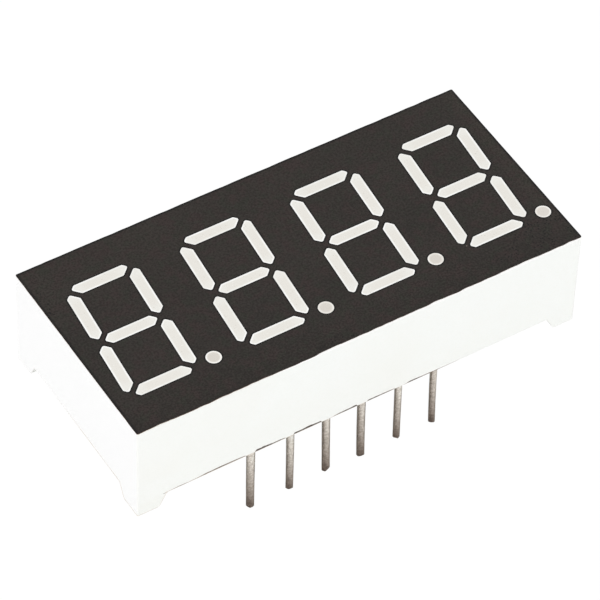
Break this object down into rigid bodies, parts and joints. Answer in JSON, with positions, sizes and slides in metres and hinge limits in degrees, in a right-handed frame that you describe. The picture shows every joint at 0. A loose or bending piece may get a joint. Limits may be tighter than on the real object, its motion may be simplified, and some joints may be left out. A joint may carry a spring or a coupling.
{
  "type": "seven segment display module",
  "caption": "Multi-digit seven segment display module: a dark printed face with pale segments and decimal points, a white shell on corner feet, and two rows of wire pins for a circuit board.",
  "frame": {"origin": "centre of the twelve-pin pattern, in the seating plane that the soles of the four corner feet lie in", "axes": "+X in the reading direction, along the long side; +Y to the top of the digits; +Z out of the front face, with the pins pointing to -Z"},
  "size_m": [0.03, 0.014, 0.0138],
  "materials": {
    "housing": "fine satin, opaque white moulding",
    "face_ink": "matt dark grey-brown print with a fine grain",
    "circuit_board": "green laminate",
    "potting": "milky epoxy, smooth from casting",
    "solder": "bright solder",
    "pin_wire": "tinned wire, dulled towards the cut ends",
    "segment_epoxy": "milky diffusing epoxy, smooth from casting",
    "point_epoxy": "milky diffusing epoxy, smooth from casting",
    "led_die": "crystal",
    "bond_wire": "bright drawn wire"
  },
  "bodies": {
    "root": {"housing": "housing", "face_ink": "face_ink", "circuit_board": "circuit_board", "potting": "potting", "solder_joints": "solder", "pin_1": "pin_wire", "pin_2": "pin_wire", "pin_3": "pin_wire", "pin_4": "pin_wire", "pin_5": "pin_wire", "pin_6": "pin_wire", "pin_7": "pin_wire", "pin_8": "pin_wire", "pin_9": "pin_wire", "pin_10": "pin_wire", "pin_11": "pin_wire", "pin_12": "pin_wire", "digit_1_segment_a": "segment_epoxy", "digit_1_segment_b": "segment_epoxy", "digit_1_segment_c": "segment_epoxy", "digit_1_segment_d": "segment_epoxy", "digit_1_segment_e": "segment_epoxy", "digit_1_segment_f": "segment_epoxy", "digit_1_segment_g": "segment_epoxy", "digit_2_segment_a": "segment_epoxy", "digit_2_segment_b": "segment_epoxy", "digit_2_segment_c": "segment_epoxy", "digit_2_segment_d": "segment_epoxy", "digit_2_segment_e": "segment_epoxy", "digit_2_segment_f": "segment_epoxy", "digit_2_segment_g": "segment_epoxy", "digit_3_segment_a": "segment_epoxy", "digit_3_segment_b": "segment_epoxy", "digit_3_segment_c": "segment_epoxy", "digit_3_segment_d": "segment_epoxy", "digit_3_segment_e": "segment_epoxy", "digit_3_segment_f": "segment_epoxy", "digit_3_segment_g": "segment_epoxy", "digit_4_segment_a": "segment_epoxy", "digit_4_segment_b": "segment_epoxy", "digit_4_segment_c": "segment_epoxy", "digit_4_segment_d": "segment_epoxy", "digit_4_segment_e": "segment_epoxy", "digit_4_segment_f": "segment_epoxy", "digit_4_segment_g": "segment_epoxy", "digit_1_decimal_point": "point_epoxy", "digit_2_decimal_point": "point_epoxy", "digit_3_decimal_point": "point_epoxy", "digit_4_decimal_point": "point_epoxy", "led_dice_digit_1": "led_die", "led_dice_digit_2": "led_die", "led_dice_digit_3": "led_die", "led_dice_digit_4": "led_die", "bond_wires_digit_1": "bond_wire", "bond_wires_digit_2": "bond_wire", "bond_wires_digit_3": "bond_wire", "bond_wires_digit_4": "bond_wire"}
  },
  "joints": []
}
